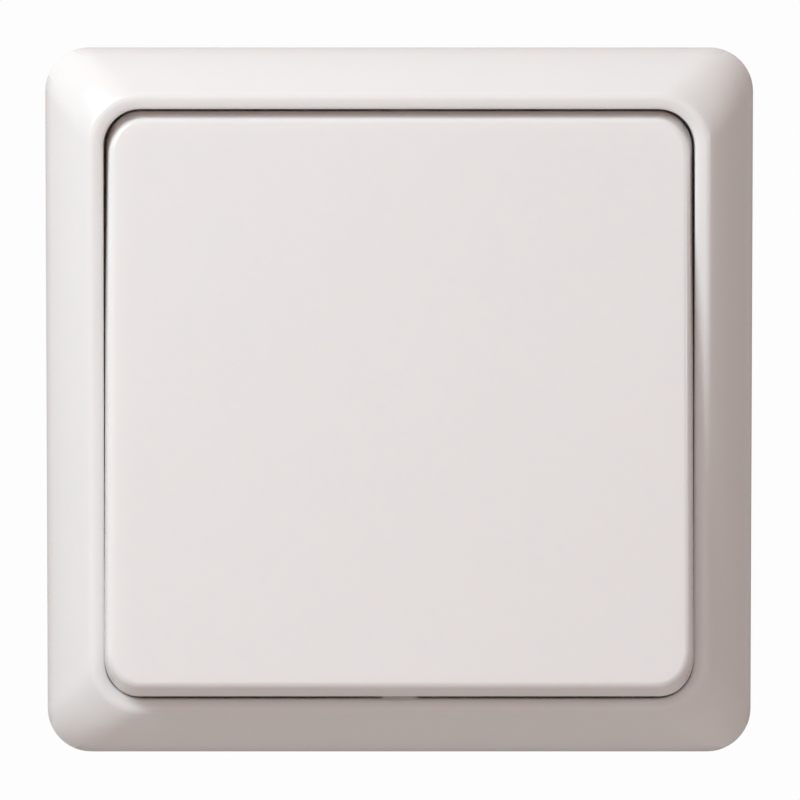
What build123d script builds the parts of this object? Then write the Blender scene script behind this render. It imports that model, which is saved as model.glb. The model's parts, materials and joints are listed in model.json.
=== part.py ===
from build123d import *

import os
from math import atan2, cos, degrees, hypot, radians, sin, tan

# Flush rocker switch for one wall box, in millimetres.
# It is set out lying on its back: X to the right, Y up the wall, Z out of the wall,
# with Z = 0 on the wall. stand_up() turns the finished pieces so that Z is up and
# the key faces -Y.

# Box screws and mounting plate
screw_pitch = 60.0
slot_width = 4.2
slot_length = 7.0
slot_edge = 2.0  # metal left between a slot and the edge of the plate
plate_thickness = 1.2
plate_corner = 6.0
plate_size = screw_pitch + slot_length + 2 * slot_edge

# Cover frame
plate_overlap = 2.0  # the plate reaches this far past the opening on each side
plate_play = 0.4  # between the edge of the plate and the frame
lip_width = 1.5
lip_drop = 0.25
slope_width = 5.5
slope_bulge = 0.7
slope_bands = 4
rim_height = 2.5
ridge_height = 10.15
frame_corner = 5.0
opening_corner = 4.2
lip_bevel = 0.15
lip_bevel_angle = 45.0
frame_wall = 1.8
hollow_height = 6.0  # roof of the hollow behind the slope, above the wall
flange_width = 3.5
flange_thickness = 1.0
frame_rib = 1.2
ribs_per_side = 4
screw_notch = 12.0  # room in the flange for the head of a box screw
notch_strip = 0.8  # flange left between a notch and the opening
opening = plate_size - 2 * plate_overlap
ridge_size = opening + 2 * lip_width
ridge_corner = opening_corner + lip_width
frame_size = ridge_size + 2 * slope_width
lip_height = ridge_height - lip_drop
flange_top = plate_thickness + flange_thickness
flange_opening = opening - 2 * flange_width

# Snap hooks that hold the frame on the plate
hook_width = 4.0
hook_thickness = 1.2
hook_barb = 0.6
hook_length = 1.6  # how far a hook reaches behind the plate
hook_offset = 10.0
hook_play = 0.2

# Key
tilt = 6.2  # degrees each way from level
side_gap = 0.22
end_gap = 0.30
side_taper = 0.5  # the bevelled border draws the face in by this much
end_taper = 1.2
bevel_height = 1.9
key_depth = 6.6
face_above_pivot = 4.7
face_thickness = 1.8
rocker_wall = 1.6
key_corner = 4.4
edge_round = 0.9
key_clearance = 0.4  # between the pressed end of the key and the frame
rocker_rib = 1.2
rocker_rib_depth = 1.6
skirt_width = opening - 2 * side_gap
skirt_length = opening - 2 * end_gap
face_width = skirt_width - 2 * side_taper
face_length = skirt_length - 2 * end_taper
skirt_below_pivot = key_depth - face_above_pivot
pivot_height = (
    flange_top
    + key_clearance
    + skirt_below_pivot * cos(radians(tilt))
    + skirt_length / 2 * sin(radians(tilt))
)
face_height = pivot_height + face_above_pivot
key_underside = face_height - face_thickness
skirt_bottom = face_height - key_depth

# Cradle under the key
cradle_width = 20.0
cradle_length = 20.0
cradle_plate = 1.8
cradle_web = 2.5
cradle_web_length = 7.0
trunnion_radius = 1.6
bearing_play = 0.1
boss_radius = 4.2
spring_lever = 10.0  # from the pivot back to the front end of the spring
pocket_depth = 3.0
clip_width = 8.0
clip_thickness = 1.2
clip_offset = 7.0
clip_hook = 0.5
clip_play = 0.15

# Toggle spring
spring_radius = 1.95
spring_wire = 0.5
spring_turns = 3
wire_sides = 6
spring_play = 0.15

# Contact beam and contacts
beam_tilt = 6.0  # degrees each way from level
knife_depth = 10.0  # knife edge behind the wall plane
knife_play = 0.15
knife_thickness = 1.0
knife_angle = 30.0  # degrees from the middle of the blade to each flank
groove_angle = 50.0  # the same for the groove in the beam
beam_arm = 9.0
beam_end = 2.0  # beam beyond the middle of a contact
beam_width = 5.0
beam_thickness = 0.9
beam_corner = 1.2
peg_radius = 1.0
peg_length = 1.0
tip_radius = 1.5
tip_height = 1.0
closed_gap = 0.12

# Housing
base_width = 46.0
base_height = 42.0
base_depth = 22.0
base_corner_cut = 7.0
base_wall = 2.4
base_floor = 2.0
base_round = 0.8
lid_thickness = 2.0
lid_ledge = 1.4
lid_play = 0.1
post_thickness = 2.6
post_length = 8.0
post_play = 0.3
bearing_rise = 1.4  # the post ends this far in front of the pivot
plate_window_play = 1.0
chamber_play = 1.2

# Terminals
strip_width = 7.0
strip_thickness = 1.0
strip_bend = 1.2
strip_play = 0.1
pocket_span = 10.0
pocket_play = 0.3
partition_wall = 1.6
clamp_thickness = 0.4
clamp_loop = 1.0
clamp_bend = 0.9
clamp_width = 6.6
clamp_tip_gap = 0.3
clamp_tip_depth = 11.0
wire_entry = 2.8
wire_pitch = 4.2
wire_play = 0.2
button_thickness = 2.0
button_width = 5.6
button_shoulder = 0.7
button_shoulder_depth = 0.9
button_proud = 2.2
button_play = 0.1
button_gap = 0.3

# Screws that clamp plate, lid and housing
cover_screw_radius = 1.25
cover_screw_length = 11.0
cover_screw_head = 2.3
cover_screw_head_height = 1.5
cover_screw_play = 0.05
screw_tip_play = 1.0
cover_screw_x = 12.5
cover_screw_inset = 4.0
cross_slot = 0.6
cross_length = 3.2
cross_depth = 0.8

# Places worked out from the sizes above
post_inner = cradle_width / 2 + post_play
post_outer = post_inner + post_thickness
swing_at_wall = pivot_height * sin(radians(tilt))
swing_at_lid = (pivot_height + lid_thickness) * sin(radians(tilt))
boss_bottom = pivot_height - spring_lever - pocket_depth
floor_level = base_floor - base_depth
bar_outer = base_width / 2 - base_wall
bar_inner = bar_outer - strip_thickness
pocket_inner = bar_outer - pocket_span
chamber_half_width = pocket_inner - partition_wall
chamber_half_length = beam_arm + max(beam_end, strip_width / 2) + chamber_play
strip_level = -lid_thickness - strip_play - strip_thickness / 2
drop_place = chamber_half_width - strip_play - strip_thickness / 2
beam_rear = -beam_thickness / 2  # the beam is balanced: its middle plane holds the knife edge
beam_seat = knife_play + beam_thickness
tip_far = beam_arm + tip_radius
tip_reach = tip_far * sin(radians(beam_tilt)) + (tip_height - beam_rear) * cos(radians(beam_tilt))
arm_front = -knife_depth - tip_reach - closed_gap - tip_height
arm_level = arm_front - strip_thickness / 2
pocket_height = strip_width + 2 * pocket_play
cover_screw_y = base_height / 2 - cover_screw_inset
corner_signs = [(-1, -1), (-1, 1), (1, -1), (1, 1)]
screw_signs = [(-1, 1), (1, -1)]
low_end = (Align.CENTER, Align.CENTER, Align.MIN)


def rounded_square(size, corner, level):
    """A square with round corners, at a height above the wall."""
    return Pos(0, 0, level) * RectangleRounded(size, size, corner)


def block(x_range, y_range, z_range):
    """A box between two limits along each axis."""
    sizes = [high - low for low, high in (x_range, y_range, z_range)]
    middles = [(high + low) / 2 for low, high in (x_range, y_range, z_range)]
    return Pos(*middles) * Box(*sizes)


def pin(radius, low, high):
    """A round bar along Z between two levels."""
    return Pos(0, 0, low) * Cylinder(radius, high - low, align=low_end)


def trapezoid(low_width, high_width, low, high):
    """A symmetric outline that narrows from a low level to a high one."""
    corners = [
        (-low_width / 2, low),
        (low_width / 2, low),
        (high_width / 2, high),
        (-high_width / 2, high),
    ]
    return make_face(Polyline(*corners, close=True))


def at_cover_screws(piece):
    """A piece repeated at the two screws behind the key."""
    places = [Pos(x_sign * cover_screw_x, y_sign * cover_screw_y, 0) for x_sign, y_sign in screw_signs]
    return [place * piece for place in places]


def bent_strip(points, bend, thickness, width):
    """Sheet metal bent along points in the XZ plane, centred on Y = 0."""
    path = FilletPolyline(*points, radius=bend)
    section = trace(path, thickness)
    return extrude(Plane.XZ * section, width / 2, both=True)


def turn_key(piece):
    """Tilt a piece about the pivot of the key, top end in, as it stands at rest."""
    return Pos(0, 0, pivot_height) * Rot(-tilt, 0, 0) * Pos(0, 0, -pivot_height) * piece


def turn_beam(piece):
    """Tilt a piece about the knife edge, upper end in, as it stands at rest."""
    return Pos(0, 0, -knife_depth) * Rot(-beam_tilt, 0, 0) * piece


def slope_section(share, inset=0.0):
    """One level of the convex outer slope, from the rim (0) to the ridge (1)."""
    rise = ridge_height - rim_height
    chord = hypot(slope_width, rise)
    bulge = slope_bulge * 4 * share * (1 - share)
    half = frame_size / 2 - slope_width * share + bulge * rise / chord - inset
    level = rim_height + rise * share + bulge * slope_width / chord
    corner = frame_corner + (ridge_corner - frame_corner) * share - inset / 2
    return rounded_square(2 * half, corner, level)


def frame_hollow():
    """The hollow behind the slope, with ribs left standing across it."""
    rise = ridge_height - rim_height
    wall_across = frame_wall * hypot(slope_width, rise) / rise
    roof_share = (hollow_height - rim_height) / rise
    mouth_size = frame_size - 2 * frame_wall
    mouth_corner = frame_corner - frame_wall / 2
    low = rounded_square(mouth_size, mouth_corner, 0)
    high = rounded_square(mouth_size, mouth_corner, rim_height)
    hollow = extrude(low, rim_height)
    hollow += loft([high, slope_section(roof_share, wall_across)], ruled=True)
    inner_size = opening + 2 * frame_wall
    hollow -= extrude(rounded_square(inner_size, opening_corner + frame_wall, 0), ridge_height)
    rib_step = opening / ribs_per_side
    for number in range(ribs_per_side):
        place = (number + 0.5 - ribs_per_side / 2) * rib_step
        rib_range = (place - frame_rib / 2, place + frame_rib / 2)
        height_range = (plate_thickness, ridge_height)
        hollow -= block(rib_range, (-frame_size, frame_size), height_range)
        hollow -= block((-frame_size, frame_size), rib_range, height_range)
    return hollow


def snap_hook():
    """A tongue from the flange through the plate, with a barb behind it."""
    low = flange_opening / 2
    high = low + hook_thickness
    outline = Polyline(
        (low, flange_top),
        (high, flange_top),
        (high, -hook_play),
        (high + hook_barb, -hook_play),
        (high, -hook_length),
        (low, -hook_length),
        close=True,
    )
    return extrude(Plane.YZ * make_face(outline), hook_width / 2, both=True)


def make_cover_frame():
    rim = extrude(rounded_square(frame_size, frame_corner, 0), rim_height)
    levels = [slope_section(step / slope_bands) for step in range(slope_bands + 1)]
    frame = rim + loft(levels, ruled=True)
    lip_angle = degrees(atan2(lip_width, lip_drop))
    frame -= extrude(rounded_square(opening, opening_corner, lip_height), lip_drop, taper=-lip_angle)
    frame -= extrude(rounded_square(opening, opening_corner, flange_top), lip_height - flange_top)
    bevel_start = lip_height - lip_bevel
    bevel_rise = ridge_height - bevel_start
    bevel_cut = rounded_square(opening, opening_corner, bevel_start)
    frame -= extrude(bevel_cut, bevel_rise, taper=-lip_bevel_angle)
    frame -= extrude(rounded_square(flange_opening, opening_corner, 0), ridge_height)
    plate_room = plate_size + 2 * plate_play
    frame -= extrude(rounded_square(plate_room, plate_corner, 0), plate_thickness)
    frame -= frame_hollow()
    notch = (-screw_notch / 2, screw_notch / 2)
    notch_end = opening / 2 - notch_strip
    inside = (-notch_end, notch_end)
    frame -= block(notch, inside, (0, flange_top))
    frame -= block(inside, notch, (0, flange_top))
    for side in (-1, 1):
        hook = Pos(side * hook_offset, 0, 0) * snap_hook()
        frame += hook
        frame += mirror(hook, about=Plane.XZ)
    return frame


def make_mounting_plate():
    plate = extrude(rounded_square(plate_size, plate_corner, 0), plate_thickness)
    slot = SlotOverall(slot_length, slot_width)
    for angle in (0, 90, 180, 270):
        plate -= Rot(0, 0, angle) * Pos(screw_pitch / 2, 0, 0) * extrude(slot, plate_thickness)
    window_x = post_outer + plate_window_play
    window_y = max(post_length / 2, boss_radius + swing_at_wall) + plate_window_play
    window = RectangleRounded(2 * window_x, 2 * window_y, plate_window_play)
    plate -= extrude(window, plate_thickness)
    low = flange_opening / 2 - hook_barb
    high = flange_opening / 2 + hook_thickness + hook_play
    reach = hook_width / 2 + hook_play
    for x_sign, y_sign in corner_signs:
        hook_x = x_sign * hook_offset
        y_range = sorted((y_sign * low, y_sign * high))
        plate -= block((hook_x - reach, hook_x + reach), y_range, (0, plate_thickness))
    plate -= at_cover_screws(pin(cover_screw_radius + cover_screw_play, 0, plate_thickness))
    return plate


def key_block():
    """The key before it is hollowed: a straight skirt, and a bevelled border round the face."""
    waist_level = face_height - bevel_height
    across = trapezoid(skirt_width, face_width, waist_level, face_height)
    along = trapezoid(skirt_length, face_length, waist_level, face_height)
    border = extrude(Plane.XZ * across, opening / 2, both=True)
    border &= extrude(Plane.YZ * along, opening / 2, both=True)
    corners = border.edges() - border.edges().filter_by(Plane.XY)
    border = fillet(corners, key_corner)
    waist = border.faces().sort_by(Axis.Z)[0]
    key = border + extrude(waist, waist_level - skirt_bottom, dir=(0, 0, -1))
    return fillet(key.faces().sort_by(Axis.Z)[-1].edges(), edge_round)


def key_hollow():
    """The drafted hollow under the face of the key."""
    width = skirt_width - 2 * rocker_wall
    length = skirt_length - 2 * rocker_wall
    mouth = Pos(0, 0, skirt_bottom) * RectangleRounded(width, length, key_corner - rocker_wall)
    height = key_underside - skirt_bottom
    draft = degrees(atan2((side_taper + end_taper) / 2, height))
    return extrude(mouth, height, taper=draft)


def clip_leg():
    """A leg under the key that snaps behind the plate of the cradle."""
    low = clip_offset - clip_thickness / 2
    high = clip_offset + clip_thickness / 2
    catch = key_underside - cradle_plate - clip_play
    outline = Polyline(
        (low, key_underside),
        (high, key_underside),
        (high, catch),
        (high + clip_hook, catch),
        (high, catch - 2 * clip_hook),
        (low, catch - 2 * clip_hook),
        close=True,
    )
    return extrude(Plane.YZ * make_face(outline), clip_width / 2, both=True)


def make_rocker():
    rocker = key_block() - key_hollow()
    rib_range = (-rocker_rib / 2, rocker_rib / 2)
    depth_range = (key_underside - rocker_rib_depth, key_underside)
    inside_x = skirt_width / 2 - rocker_wall
    inside_y = skirt_length / 2 - rocker_wall
    rib_y = (cradle_length / 2 + inside_y) / 2
    rib_x = (post_outer + inside_x) / 2
    for sign in (-1, 1):
        rocker += Pos(0, sign * rib_y, 0) * block((-inside_x, inside_x), rib_range, depth_range)
        rocker += Pos(sign * rib_x, 0, 0) * block(rib_range, (-inside_y, inside_y), depth_range)
    leg = clip_leg()
    rocker += leg
    rocker += mirror(leg, about=Plane.XZ)
    return turn_key(rocker)


def make_cradle():
    plate_range = (key_underside - cradle_plate, key_underside)
    half_width = cradle_width / 2
    half_length = cradle_length / 2
    cradle = block((-half_width, half_width), (-half_length, half_length), plate_range)
    cradle = fillet(cradle.edges().filter_by(Axis.Z), cradle_plate)
    web_range = (pivot_height - trunnion_radius, key_underside)
    for sign in (-1, 1):
        web_x = sorted((sign * half_width, sign * (half_width - cradle_web)))
        cradle += block(web_x, (-cradle_web_length / 2, cradle_web_length / 2), web_range)
    trunnion = Rot(0, 90, 0) * Cylinder(trunnion_radius, 2 * post_outer)
    between = half_width - cradle_web
    trunnion -= block((-between, between), (-half_length, half_length), (-half_length, half_length))
    cradle += Pos(0, 0, pivot_height) * trunnion
    cradle += pin(boss_radius, boss_bottom, key_underside)
    pocket_swing = pocket_depth * tan(radians(spring_lean() + tilt))
    pocket_radius = spring_radius + spring_wire / 2 + spring_play + pocket_swing
    cradle -= pin(pocket_radius, boss_bottom, boss_bottom + pocket_depth)
    window_y = (
        clip_offset - clip_thickness / 2 - clip_play,
        clip_offset + clip_thickness / 2 + clip_hook / 2,
    )
    window_x = (-clip_width / 2 - clip_play, clip_width / 2 + clip_play)
    window = block(window_x, window_y, plate_range)
    cradle -= window
    cradle -= mirror(window, about=Plane.XZ)
    return turn_key(cradle)


def spring_ends():
    """Front and rear end of the toggle spring at rest, in the YZ plane."""
    lever = spring_lever
    front = Vector(0, -lever * sin(radians(tilt)), pivot_height - lever * cos(radians(tilt)))
    seat = beam_seat
    rear = Vector(0, seat * sin(radians(beam_tilt)), seat * cos(radians(beam_tilt)) - knife_depth)
    return front, rear


def spring_lean():
    """Lean of the toggle spring from straight back, in degrees."""
    front, rear = spring_ends()
    along = rear - front
    return degrees(atan2(along.Y, -along.Z))


def make_toggle_spring():
    front, rear = spring_ends()
    length = (front - rear).length - spring_wire - 2 * spring_play
    coil = Helix(length / spring_turns, length, spring_radius)
    section = Plane(coil @ 0, z_dir=coil % 0) * RegularPolygon(spring_wire / 2, wire_sides)
    spring = sweep(section, path=coil, is_frenet=True)
    start = spring_wire / 2 + spring_play
    upright = Plane(origin=rear, x_dir=(1, 0, 0), z_dir=front - rear)
    return upright * Pos(0, 0, start) * spring


def make_contact_beam():
    """A strip pressed into a ridge over the knife edge, with a peg that centres the spring."""
    end = beam_arm + beam_end
    front = beam_rear + beam_thickness
    flare = tan(radians(groove_angle))
    groove = (knife_play - beam_rear) * flare
    ridge = spring_radius
    foot = ridge + (beam_seat - front) * flare
    outline = Polyline(
        (-end, beam_rear),
        (-groove, beam_rear),
        (0, knife_play),
        (groove, beam_rear),
        (end, beam_rear),
        (end, front),
        (foot, front),
        (ridge, beam_seat),
        (-ridge, beam_seat),
        (-foot, front),
        (-end, front),
        close=True,
    )
    beam = extrude(Plane.YZ * make_face(outline), beam_width / 2, both=True)
    beam = fillet(beam.edges().filter_by(Axis.Z), beam_corner)
    beam += pin(peg_radius, beam_seat, beam_seat + peg_length)
    return turn_beam(beam)


def contact_tip():
    """A round contact that stands on Z = 0."""
    return pin(tip_radius, 0, tip_height)


def make_moving_contact_tips():
    tip = Pos(0, 0, beam_rear) * Rot(180, 0, 0) * contact_tip()
    return turn_beam(Pos(0, beam_arm, 0) * tip + Pos(0, -beam_arm, 0) * tip)


def make_fixed_contact_tips():
    place = beam_arm * cos(radians(beam_tilt))
    tip = Pos(0, 0, arm_front) * contact_tip()
    return Pos(0, place, 0) * tip + Pos(0, -place, 0) * tip


def terminal_strip(arm_end):
    """A terminal on the right side: wire bar, bridge under the lid, drop and contact arm."""
    points = [
        (bar_inner + strip_thickness / 2, floor_level),
        (bar_inner + strip_thickness / 2, strip_level),
        (drop_place, strip_level),
        (drop_place, arm_level),
        (-arm_end, arm_level),
    ]
    strip = bent_strip(points, strip_bend, strip_thickness, strip_width)
    neck = drop_place - strip_bend - strip_thickness
    blank = Polyline(
        (base_width, strip_width / 2),
        (neck, strip_width / 2),
        (neck - strip_width / 2, beam_width / 2),
        (-base_width, beam_width / 2),
        (-base_width, -beam_width / 2),
        (neck - strip_width / 2, -beam_width / 2),
        (neck, -strip_width / 2),
        (base_width, -strip_width / 2),
        close=True,
    )
    return strip & extrude(make_face(blank), base_depth, both=True)


def fixed_terminal(sign):
    return Pos(0, sign * beam_arm, 0) * terminal_strip(beam_width / 2)


def knife_blade():
    """The upright blade of the common terminal, sharpened to the knife edge."""
    half = knife_thickness / 2
    shoulder = -knife_depth - half / tan(radians(knife_angle))
    outline = Polyline(
        (-half, arm_level),
        (-half, shoulder),
        (0, -knife_depth),
        (half, shoulder),
        (half, arm_level),
        close=True,
    )
    return extrude(Plane.YZ * make_face(outline), beam_width / 2, both=True)


def make_common_terminal():
    strip = terminal_strip(beam_width / 2) + knife_blade()
    return Rot(0, 0, 180) * strip


def clamp_leg():
    """Start and end of the free leg of a clamp spring, in the XZ plane."""
    start_x = pocket_inner + strip_play + clamp_thickness + 2 * clamp_loop
    start = Vector(start_x, floor_level + strip_play + 2 * clamp_loop)
    end = Vector(bar_inner - clamp_tip_gap - clamp_thickness, -clamp_tip_depth)
    return start, end


def clamp_spring():
    """A leaf looped at the wire entry, its free leg leaning to the wire bar."""
    start, end = clamp_leg()
    back = pocket_inner + strip_play + clamp_thickness / 2
    bottom = floor_level + strip_play + clamp_thickness / 2
    top = strip_level - strip_thickness / 2 - strip_play
    points = [(back, top), (back, bottom), (start.X, bottom), (start.X, start.Y), (end.X, end.Y)]
    leaf = bent_strip(points, clamp_bend, clamp_thickness, clamp_width)
    slit = clamp_thickness
    low = start.Y + clamp_loop
    return leaf - block((start.X, bar_inner), (-slit / 2, slit / 2), (low, 0))


def button_range():
    """Where a release button stands between the loop and the wire entries."""
    start, _ = clamp_leg()
    low = start.X + clamp_thickness / 2 + button_gap
    return low, low + button_thickness


def release_button():
    """A push button with shoulders inside the housing and a slanted nose at the leaf."""
    low, high = button_range()
    start, end = clamp_leg()
    lean = (end.Y - start.Y) / (end.X - start.X)
    clear = (clamp_thickness / 2 + button_gap) * (1 + lean**2) ** 0.5
    nose_low = start.Y + (low - start.X) * lean - clear
    nose_high = start.Y + (high - start.X) * lean - clear
    outer_end = -base_depth - button_proud
    outline = Polyline(
        (low, outer_end),
        (high, outer_end),
        (high, nose_high),
        (low, nose_low),
        close=True,
    )
    button = extrude(Plane.XZ * make_face(outline), button_width / 2, both=True)
    seat = floor_level + button_play
    reach = button_width / 2 + button_shoulder
    button += block((low, high), (-reach, reach), (seat, seat + button_shoulder_depth))
    return button


def terminal_pocket():
    """Room in the housing for one push-in terminal, open to the lid, with its entries."""
    half = pocket_height / 2
    pocket = block((pocket_inner, bar_outer), (-half, half), (floor_level, 0))
    slot_low = strip_level - strip_thickness / 2 - strip_bend
    pocket += block((0, bar_outer), (-half, half), (slot_low, 0))
    low, high = button_range()
    reach = button_width / 2 + button_play
    through = (-base_depth, floor_level)
    pocket += block((low - button_play, high + button_play), (-reach, reach), through)
    entry_x = bar_inner - wire_entry / 2 - wire_play
    entry = pin(wire_entry / 2, -base_depth, floor_level)
    for sign in (-1, 1):
        pocket += Pos(entry_x, sign * wire_pitch / 2, 0) * entry
    return pocket


def base_outline(inset):
    """Outline of the housing: a rectangle with cut corners that fits a round wall box."""
    width = base_width - 2 * inset
    height = base_height - 2 * inset
    cut = base_corner_cut - inset * (2 - 2**0.5)
    return chamfer(Rectangle(width, height).vertices(), cut)


def make_switch_base():
    base = extrude(base_outline(0), -base_depth)
    rear_edges = base.faces().sort_by(Axis.Z)[0].edges()
    base = fillet(rear_edges, base_round)
    base -= extrude(base_outline(lid_ledge), -lid_thickness)
    chamber_x = (-chamber_half_width, chamber_half_width)
    chamber_y = (-chamber_half_length, chamber_half_length)
    base -= block(chamber_x, chamber_y, (floor_level, 0))
    pocket = terminal_pocket()
    base -= Rot(0, 0, 180) * pocket
    for sign in (-1, 1):
        base -= Pos(0, sign * beam_arm, 0) * pocket
    pillar_x = (-beam_width / 2, drop_place)
    pillar_z = (floor_level, arm_level - strip_thickness / 2)
    pillar = block(pillar_x, (-beam_width / 2, beam_width / 2), pillar_z)
    base += Rot(0, 0, 180) * pillar
    for sign in (-1, 1):
        base += Pos(0, sign * beam_arm, 0) * pillar
    hole_end = plate_thickness - cover_screw_length - screw_tip_play
    base -= at_cover_screws(pin(cover_screw_radius + cover_screw_play, hole_end, 0))
    return base


def bearing_post():
    """A post with an open bearing that a trunnion of the cradle snaps into."""
    half = post_length / 2
    top = pivot_height + bearing_rise
    post = block((post_inner, post_outer), (-half, half), (-lid_thickness, top))
    top_corners = post.edges().filter_by(Axis.X).sort_by(Axis.Z)[-2:]
    post = chamfer(top_corners, bearing_rise)
    bearing = Rot(0, 90, 0) * Cylinder(trunnion_radius + bearing_play, 2 * (post_outer + post_thickness))
    return post - Pos(0, 0, pivot_height) * bearing


def make_base_cover():
    lid = extrude(base_outline(lid_ledge + lid_play), -lid_thickness)
    window_x = boss_radius + chamber_play
    window_y = boss_radius + swing_at_lid + chamber_play
    lid -= extrude(Rectangle(2 * window_x, 2 * window_y), -lid_thickness)
    lid -= at_cover_screws(pin(cover_screw_radius + cover_screw_play, -lid_thickness, 0))
    post = bearing_post()
    lid += post
    lid += mirror(post, about=Plane.YZ)
    return lid


def cover_screw():
    """A cheese-head screw with a cross recess, its head on the mounting plate."""
    head_top = plate_thickness + cover_screw_head_height
    head = pin(cover_screw_head, plate_thickness, head_top)
    half = cross_length / 2
    slot_range = (-cross_slot / 2, cross_slot / 2)
    depth_range = (head_top - cross_depth, head_top)
    head -= block((-half, half), slot_range, depth_range)
    head -= block(slot_range, (-half, half), depth_range)
    return head + pin(cover_screw_radius, plate_thickness - cover_screw_length, plate_thickness)


def make_cover_screws():
    return Part() + at_cover_screws(cover_screw())


def at_terminal(piece, name):
    """Move a piece of the right-side terminal to the terminal with this name."""
    if name == "common":
        return Rot(0, 0, 180) * piece
    sign = 1 if name == "upper" else -1
    return Pos(0, sign * beam_arm, 0) * piece


def make_pieces():
    pieces = {
        "cover_frame": make_cover_frame(),
        "rocker": make_rocker(),
        "mounting_plate": make_mounting_plate(),
        "switch_base": make_switch_base(),
        "base_cover": make_base_cover(),
        "cradle": make_cradle(),
        "toggle_spring": make_toggle_spring(),
        "contact_beam": make_contact_beam(),
        "moving_contact_tips": make_moving_contact_tips(),
        "common_terminal": make_common_terminal(),
        "upper_terminal": fixed_terminal(1),
        "lower_terminal": fixed_terminal(-1),
        "fixed_contact_tips": make_fixed_contact_tips(),
        "cover_screws": make_cover_screws(),
    }
    for name in ("common", "upper", "lower"):
        pieces["clamp_spring_" + name] = at_terminal(clamp_spring(), name)
        pieces["release_button_" + name] = at_terminal(release_button(), name)
    return pieces


def stand_up(piece):
    """Turn a piece so that Z is up and the key faces -Y."""
    return Rot(90, 0, 0) * piece


os.makedirs("parts", exist_ok=True)
for node, piece in make_pieces().items():
    export_step(stand_up(piece), os.path.join("parts", node + ".step"))
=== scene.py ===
import json
import math

import bpy
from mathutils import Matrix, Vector


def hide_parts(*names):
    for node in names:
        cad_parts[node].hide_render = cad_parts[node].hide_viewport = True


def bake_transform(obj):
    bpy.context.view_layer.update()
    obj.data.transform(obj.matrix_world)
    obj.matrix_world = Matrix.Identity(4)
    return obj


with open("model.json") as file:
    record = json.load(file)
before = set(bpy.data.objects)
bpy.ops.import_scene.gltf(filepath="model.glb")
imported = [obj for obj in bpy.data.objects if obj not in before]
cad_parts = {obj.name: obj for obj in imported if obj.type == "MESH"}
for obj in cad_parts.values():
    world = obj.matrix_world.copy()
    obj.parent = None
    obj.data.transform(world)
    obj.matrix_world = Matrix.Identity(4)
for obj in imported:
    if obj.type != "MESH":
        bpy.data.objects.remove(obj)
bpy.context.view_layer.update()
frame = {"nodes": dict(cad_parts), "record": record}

# Lengths are in metres, apart from the camera's lens and sensor in millimetres. Angles are in degrees.
# The switch faces -Y, +Z is up, and the wall plane is Y = 0.

# Camera, a little above the middle of the switch
camera_distance = 0.600
camera_elevation = 3.5
camera_lens = 235.1
camera_sensor = 36.0
camera_aim = Vector((0.0001, -0.0025, 0.0001))

# Soft box at the upper left
softbox_direction = Vector((-0.57, -0.59, 0.57))
softbox_distance = 0.65
softbox_size = 0.26
softbox_power = 3.24
softbox_colour = (0.885, 1.0, 1.055)

# Small strip light at the right
strip_direction = Vector((0.80, -0.58, 0.15))
strip_distance = 0.60
strip_width = 0.05
strip_height = 0.09
strip_power = 0.24
strip_colour = (1.0, 1.0, 1.0)

# Fill from all round, stronger from above, with a glow in front and one behind
fill_direction = Vector((-0.20, -0.45, 0.87))
fill_colour = (1.0, 0.87, 0.84)
fill_low = 0.19
fill_high = 0.35
front_direction = Vector((0.0, -1.0, 0.05))
front_level = 1.30
front_narrowness = 20.0
rear_direction = Vector((-0.15, 1.0, 0.4))
rear_level = 0.50
rear_narrowness = 2.0
backdrop_colour = (1.0, 1.0, 1.0)
backdrop_level = 0.982

# Pale floor, well below the switch
floor_level = -0.50
floor_radius = 0.50
floor_sides = 96

# Noise in the materials: scales in features per metre, most of its values lie between low and high
noise_low = 0.3
noise_high = 0.7
colour_detail = 3
gloss_detail = 4
grain_detail = 5
plastic_cloud_scale = 60
plastic_gloss_scale = 240
plastic_gloss_spread = 0.02
metal_cloud_scale = 350
metal_gloss_scale = 900
metal_gloss_spread = 0.08

# Plastic, and the light that spreads under the surface of the white kind, deepest in red
plastic_refraction = 1.5
scatter_depth = 0.0015
scatter_radius = (1.0, 0.90, 0.80)

# Broken edges of the pieces, by material slot
edge_width = {
    "frame_plastic": 0.00009,
    "key_plastic": 0.00020,
    "zinc_steel": 0.00012,
    "base_plastic": 0.00025,
    "lid_plastic": 0.00020,
    "cradle_plastic": 0.00020,
    "button_plastic": 0.00025,
    "contact_brass": 0.00010,
    "contact_silver": 0.00020,
    "spring_steel": 0.00005,
}
edge_angle = 30.0
edge_segments = 3
merge_distance = 0.000001
flat_angle = 0.5

# The sharp edges of the frame in front of ridge_front are its ridge, which is rounder
ridge_width = 0.00045
ridge_front = -0.0100

# The terminals, each with its clamp spring
terminals = ("common", "upper", "lower")


def new_material(name):
    """An empty node material with its shader."""
    material = bpy.data.materials.new(name)
    material.use_nodes = True
    shader = material.node_tree.nodes["Principled BSDF"]
    return material, shader


def add_noise(tree, scale, detail):
    """Noise fixed to the object, so that it moves with the piece."""
    place = tree.nodes.new("ShaderNodeTexCoord")
    noise = tree.nodes.new("ShaderNodeTexNoise")
    noise.inputs["Scale"].default_value = scale
    noise.inputs["Detail"].default_value = detail
    tree.links.new(place.outputs["Object"], noise.inputs["Vector"])
    return noise.outputs["Fac"]


def vary_colour(material, shader, dark, light, scale):
    """Cloudy colour between two close tones."""
    tree = material.node_tree
    ramp = tree.nodes.new("ShaderNodeValToRGB")
    low, high = ramp.color_ramp.elements
    low.color = (*dark, 1)
    low.position = noise_low
    high.color = (*light, 1)
    high.position = noise_high
    tree.links.new(add_noise(tree, scale, colour_detail), ramp.inputs["Fac"])
    tree.links.new(ramp.outputs["Color"], shader.inputs["Base Color"])


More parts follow.
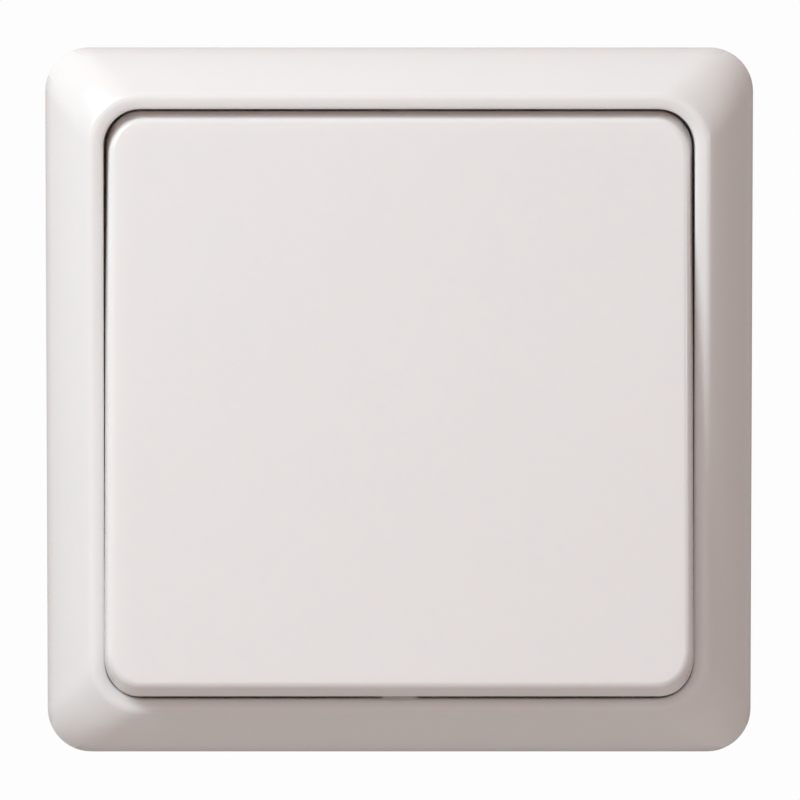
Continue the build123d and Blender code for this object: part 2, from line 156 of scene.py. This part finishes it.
def vary_roughness(material, shader, low, high, scale):
    """Uneven gloss between two roughness values."""
    tree = material.node_tree
    spread = tree.nodes.new("ShaderNodeMapRange")
    spread.inputs["From Min"].default_value = noise_low
    spread.inputs["From Max"].default_value = noise_high
    spread.inputs["To Min"].default_value = low
    spread.inputs["To Max"].default_value = high
    tree.links.new(add_noise(tree, scale, gloss_detail), spread.inputs["Value"])
    tree.links.new(spread.outputs["Result"], shader.inputs["Roughness"])


def add_grain(material, shader, scale, depth):
    """Fine unevenness of the surface."""
    tree = material.node_tree
    bump = tree.nodes.new("ShaderNodeBump")
    bump.inputs["Strength"].default_value = 1.0
    bump.inputs["Distance"].default_value = depth
    tree.links.new(add_noise(tree, scale, grain_detail), bump.inputs["Height"])
    tree.links.new(bump.outputs["Normal"], shader.inputs["Normal"])


def plastic(name, dark, light, roughness, grain, depth):
    """Moulded plastic: close tones, uneven gloss and a fine grain."""
    material, shader = new_material(name)
    spread = plastic_gloss_spread
    shader.inputs["IOR"].default_value = plastic_refraction
    vary_colour(material, shader, dark, light, plastic_cloud_scale)
    vary_roughness(material, shader, roughness - spread, roughness + spread, plastic_gloss_scale)
    add_grain(material, shader, grain, depth)
    return material


def white_plastic(name, dark, light, roughness, grain, depth):
    """Moulded white plastic, in which light spreads a little way under the surface."""
    material = plastic(name, dark, light, roughness, grain, depth)
    shader = material.node_tree.nodes["Principled BSDF"]
    shader.inputs["Subsurface Weight"].default_value = 1.0
    shader.inputs["Subsurface Radius"].default_value = scatter_radius
    shader.inputs["Subsurface Scale"].default_value = scatter_depth
    return material


def metal(name, dark, light, roughness, grain, depth):
    """Bare or plated metal: uneven tone, gloss and rolled grain."""
    material, shader = new_material(name)
    spread = metal_gloss_spread
    shader.inputs["Metallic"].default_value = 1.0
    vary_colour(material, shader, dark, light, metal_cloud_scale)
    vary_roughness(material, shader, roughness - spread, roughness + spread, metal_gloss_scale)
    add_grain(material, shader, grain, depth)
    return material


def frame_plastic():
    dark = (0.858, 0.826, 0.804)
    light = (0.863, 0.831, 0.809)
    return white_plastic("frame_plastic", dark, light, roughness=0.24, grain=1800, depth=0.0000015)


def key_plastic():
    dark = (0.858, 0.818, 0.800)
    light = (0.863, 0.823, 0.805)
    return white_plastic("key_plastic", dark, light, roughness=0.18, grain=1800, depth=0.0000015)


def zinc_steel():
    dark = (0.52, 0.53, 0.54)
    light = (0.66, 0.67, 0.68)
    return metal("zinc_steel", dark, light, roughness=0.32, grain=1500, depth=0.00001)


def base_plastic():
    dark = (0.30, 0.30, 0.295)
    light = (0.35, 0.35, 0.34)
    return plastic("base_plastic", dark, light, roughness=0.52, grain=2500, depth=0.00002)


def lid_plastic():
    dark = (0.075, 0.08, 0.085)
    light = (0.095, 0.10, 0.105)
    return plastic("lid_plastic", dark, light, roughness=0.50, grain=2500, depth=0.00002)


def cradle_plastic():
    dark = (0.014, 0.014, 0.015)
    light = (0.022, 0.022, 0.023)
    return plastic("cradle_plastic", dark, light, roughness=0.42, grain=2500, depth=0.00001)


def button_plastic():
    dark = (0.032, 0.034, 0.036)
    light = (0.046, 0.048, 0.05)
    return plastic("button_plastic", dark, light, roughness=0.45, grain=2500, depth=0.00001)


def contact_brass():
    dark = (0.56, 0.36, 0.12)
    light = (0.70, 0.48, 0.18)
    return metal("contact_brass", dark, light, roughness=0.28, grain=1200, depth=0.00001)


def contact_silver():
    dark = (0.74, 0.73, 0.70)
    light = (0.84, 0.83, 0.81)
    return metal("contact_silver", dark, light, roughness=0.25, grain=1800, depth=0.00001)


def spring_steel():
    dark = (0.42, 0.42, 0.43)
    light = (0.56, 0.56, 0.57)
    return metal("spring_steel", dark, light, roughness=0.25, grain=1500, depth=0.00001)


def floor_paint():
    dark = (0.80, 0.80, 0.79)
    light = (0.82, 0.82, 0.81)
    return plastic("floor", dark, light, roughness=0.7, grain=200, depth=0.00001)


def make_materials():
    """One material for each slot of the record."""
    return {
        "frame_plastic": frame_plastic(),
        "key_plastic": key_plastic(),
        "zinc_steel": zinc_steel(),
        "base_plastic": base_plastic(),
        "lid_plastic": lid_plastic(),
        "cradle_plastic": cradle_plastic(),
        "button_plastic": button_plastic(),
        "contact_brass": contact_brass(),
        "contact_silver": contact_silver(),
        "spring_steel": spring_steel(),
    }


def add_math(tree, operation, first, second):
    """One step of arithmetic in a node tree, on sockets or plain values."""
    node = tree.nodes.new("ShaderNodeMath")
    node.operation = operation
    for socket, value in zip(node.inputs, (first, second)):
        if isinstance(value, float):
            socket.default_value = value
        else:
            tree.links.new(value, socket)
    return node.outputs["Value"]


def new_group(name):
    """An empty group of geometry nodes, with the sockets of its way in and its way out."""
    group = bpy.data.node_groups.new(name, "GeometryNodeTree")
    for way in ("INPUT", "OUTPUT"):
        group.interface.new_socket("Geometry", in_out=way, socket_type="NodeSocketGeometry")
    way_in = group.nodes.new("NodeGroupInput").outputs["Geometry"]
    way_out = group.nodes.new("NodeGroupOutput").inputs["Geometry"]
    return group, way_in, way_out


def weld_group():
    """Geometry nodes that weld the faces of a solid and let its round faces shade smoothly."""
    group, last, way_out = new_group("weld_solid")
    for attribute in ("custom_normal", "sharp_edge", "sharp_face"):
        remove = group.nodes.new("GeometryNodeRemoveAttribute")
        remove.inputs["Name"].default_value = attribute
        group.links.new(last, remove.inputs["Geometry"])
        last = remove.outputs["Geometry"]
    weld = group.nodes.new("GeometryNodeMergeByDistance")
    weld.inputs["Distance"].default_value = merge_distance
    group.links.new(last, weld.inputs["Geometry"])
    smooth = group.nodes.new("GeometryNodeSetShadeSmooth")
    group.links.new(weld.outputs["Geometry"], smooth.inputs["Geometry"])
    group.links.new(smooth.outputs["Geometry"], way_out)
    return group


def mark_group():
    """Geometry nodes that mark the sharp edges: the frame's front ridge in full, the others in part."""
    group, way_in, way_out = new_group("mark_edges")
    turn = group.nodes.new("GeometryNodeInputMeshEdgeAngle").outputs["Unsigned Angle"]
    position = group.nodes.new("GeometryNodeInputPosition").outputs["Position"]
    place = group.nodes.new("ShaderNodeSeparateXYZ")
    group.links.new(position, place.inputs["Vector"])
    is_sharp = add_math(group, "GREATER_THAN", turn, math.radians(edge_angle))
    is_ridge = add_math(group, "LESS_THAN", place.outputs["Y"], ridge_front)
    share = add_math(group, "MAXIMUM", is_ridge, edge_width["frame_plastic"] / ridge_width)
    store = group.nodes.new("GeometryNodeStoreNamedAttribute")
    store.data_type = "FLOAT"
    store.domain = "EDGE"
    store.inputs["Name"].default_value = "bevel_weight_edge"
    group.links.new(way_in, store.inputs["Geometry"])
    group.links.new(add_math(group, "MULTIPLY", is_sharp, share), store.inputs["Value"])
    group.links.new(store.outputs["Geometry"], way_out)
    return group


def break_edges(piece, weld, width):
    """Weld a piece, join its flat faces and round its sharp edges a little."""
    piece.modifiers.new("weld", "NODES").node_group = weld
    join = piece.modifiers.new("join_flats", "DECIMATE")
    join.decimate_type = "DISSOLVE"
    join.angle_limit = math.radians(flat_angle)
    edge = piece.modifiers.new("edges", "BEVEL")
    edge.width = width
    edge.segments = edge_segments
    edge.limit_method = "ANGLE"
    edge.angle_limit = math.radians(edge_angle)
    edge.use_clamp_overlap = True
    normals = piece.modifiers.new("normals", "WEIGHTED_NORMAL")
    normals.keep_sharp = True


def dress_solids(materials, weld):
    """Give every solid its material and its broken edges."""
    for entry in frame["record"]["subparts"]:
        piece = frame["nodes"][entry["node"]]
        slot_name = entry["material_slot"]
        piece.data.materials.clear()
        piece.data.materials.append(materials[slot_name])
        break_edges(piece, weld, edge_width[slot_name])


def soften_ridge(piece):
    """Round the front ridge of the frame more than its other edges."""
    piece.modifiers.new("mark", "NODES").node_group = mark_group()
    piece.modifiers.move(piece.modifiers.find("mark"), piece.modifiers.find("join_flats"))
    edge = piece.modifiers["edges"]
    edge.limit_method = "WEIGHT"
    edge.width = ridge_width
    edge.use_clamp_overlap = False


def bend_spring(node_name, material, weld):
    """A copy of a spring with its material and broken edges, in place of the original, which is hidden."""
    node = frame["nodes"][node_name]
    spring = bpy.data.objects.new("bending_" + node_name, node.data.copy())
    bpy.context.scene.collection.objects.link(spring)
    spring.data.materials.clear()
    spring.data.materials.append(material)
    break_edges(spring, weld, edge_width["spring_steel"])
    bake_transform(spring)
    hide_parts(node_name)


def bend_clamp_spring(name, material, weld):
    """A copy of a clamp spring, in place of the original."""
    node_name = "clamp_spring_" + name
    bend_spring(node_name, material, weld)


def bend_toggle_spring(material, weld):
    """A copy of the toggle spring, in place of the original."""
    bend_spring("toggle_spring", material, weld)


def look_at(item, place, aim):
    """Put a camera or light at a place and turn it to what it looks at."""
    item.location = place
    item.rotation_euler = (aim - place).to_track_quat("-Z", "Y").to_euler()


def add_camera():
    """A long lens in front of the switch."""
    data = bpy.data.cameras.new("camera")
    data.lens = camera_lens
    data.sensor_width = camera_sensor
    camera = bpy.data.objects.new("camera", data)
    bpy.context.scene.collection.objects.link(camera)
    angle = math.radians(camera_elevation)
    back = Vector((0, -math.cos(angle), math.sin(angle)))
    look_at(camera, camera_aim + camera_distance * back, camera_aim)
    bpy.context.scene.camera = camera


def add_area_light(name, direction, distance, size, power, colour):
    """A soft light, given by its direction from the switch, turned to the switch."""
    data = bpy.data.lights.new(name, "AREA")
    data.shape = "RECTANGLE"
    data.size, data.size_y = size
    data.energy = power
    data.color = colour
    light = bpy.data.objects.new(name, data)
    bpy.context.scene.collection.objects.link(light)
    look_at(light, direction.normalized() * distance, Vector((0, 0, 0)))


def add_lights():
    """The soft box and the strip light."""
    add_area_light(
        "key_light",
        softbox_direction,
        softbox_distance,
        (softbox_size, softbox_size),
        softbox_power,
        softbox_colour,
    )
    add_area_light(
        "strip_light",
        strip_direction,
        strip_distance,
        (strip_width, strip_height),
        strip_power,
        strip_colour,
    )


def add_direction(tree, direction):
    """How far the light's direction agrees with a given one, from -1 to 1."""
    place = tree.nodes.new("ShaderNodeTexCoord")
    agreement = tree.nodes.new("ShaderNodeVectorMath")
    agreement.operation = "DOT_PRODUCT"
    agreement.inputs[1].default_value = direction.normalized()
    tree.links.new(place.outputs["Generated"], agreement.inputs[0])
    return agreement.outputs["Value"]


def add_slope(tree, direction, low, high):
    """Light that rises evenly from low, on the far side, to high in one direction."""
    level = tree.nodes.new("ShaderNodeMapRange")
    level.inputs["From Min"].default_value = -1.0
    level.inputs["To Min"].default_value = low
    level.inputs["To Max"].default_value = high
    tree.links.new(add_direction(tree, direction), level.inputs["Value"])
    return level.outputs["Result"]


def add_glow(tree, direction, level, narrowness):
    """More light from around one direction."""
    facing = add_math(tree, "MAXIMUM", add_direction(tree, direction), 0.0)
    return add_math(tree, "MULTIPLY", add_math(tree, "POWER", facing, narrowness), level)


def add_backdrop(tree):
    """The near-white ground behind the switch."""
    backdrop = tree.nodes.new("ShaderNodeBackground")
    backdrop.inputs["Color"].default_value = (*backdrop_colour, 1)
    backdrop.inputs["Strength"].default_value = backdrop_level
    return backdrop.outputs["Background"]


def add_world():
    """Fill light from all round, and a near-white ground that only the camera sees."""
    world = bpy.data.worlds.new("studio")
    world.use_nodes = True
    bpy.context.scene.world = world
    tree = world.node_tree
    fill = tree.nodes["Background"]
    fill.inputs["Color"].default_value = (*fill_colour, 1)
    slope = add_slope(tree, fill_direction, fill_low, fill_high)
    front = add_glow(tree, front_direction, front_level, front_narrowness)
    rear = add_glow(tree, rear_direction, rear_level, rear_narrowness)
    total = add_math(tree, "ADD", slope, add_math(tree, "ADD", front, rear))
    tree.links.new(total, fill.inputs["Strength"])
    path = tree.nodes.new("ShaderNodeLightPath")
    mix = tree.nodes.new("ShaderNodeMixShader")
    tree.links.new(path.outputs["Is Camera Ray"], mix.inputs["Fac"])
    tree.links.new(fill.outputs["Background"], mix.inputs[1])
    tree.links.new(add_backdrop(tree), mix.inputs[2])
    tree.links.new(mix.outputs["Shader"], tree.nodes["World Output"].inputs["Surface"])


def add_floor():
    """A plain pale disc under the switch."""
    bpy.ops.mesh.primitive_circle_add(
        vertices=floor_sides, radius=floor_radius, fill_type="NGON", location=(0, 0, floor_level)
    )
    floor = bpy.context.object
    floor.name = "floor"
    floor.data.materials.append(floor_paint())


materials = make_materials()
weld = weld_group()
dress_solids(materials, weld)
for terminal in terminals:
    bend_clamp_spring(terminal, materials["spring_steel"], weld)
bend_toggle_spring(materials["spring_steel"], weld)
soften_ridge(frame["nodes"]["cover_frame"])
add_camera()
add_lights()
add_world()
add_floor()
bpy.context.scene.view_settings.view_transform = "Standard"
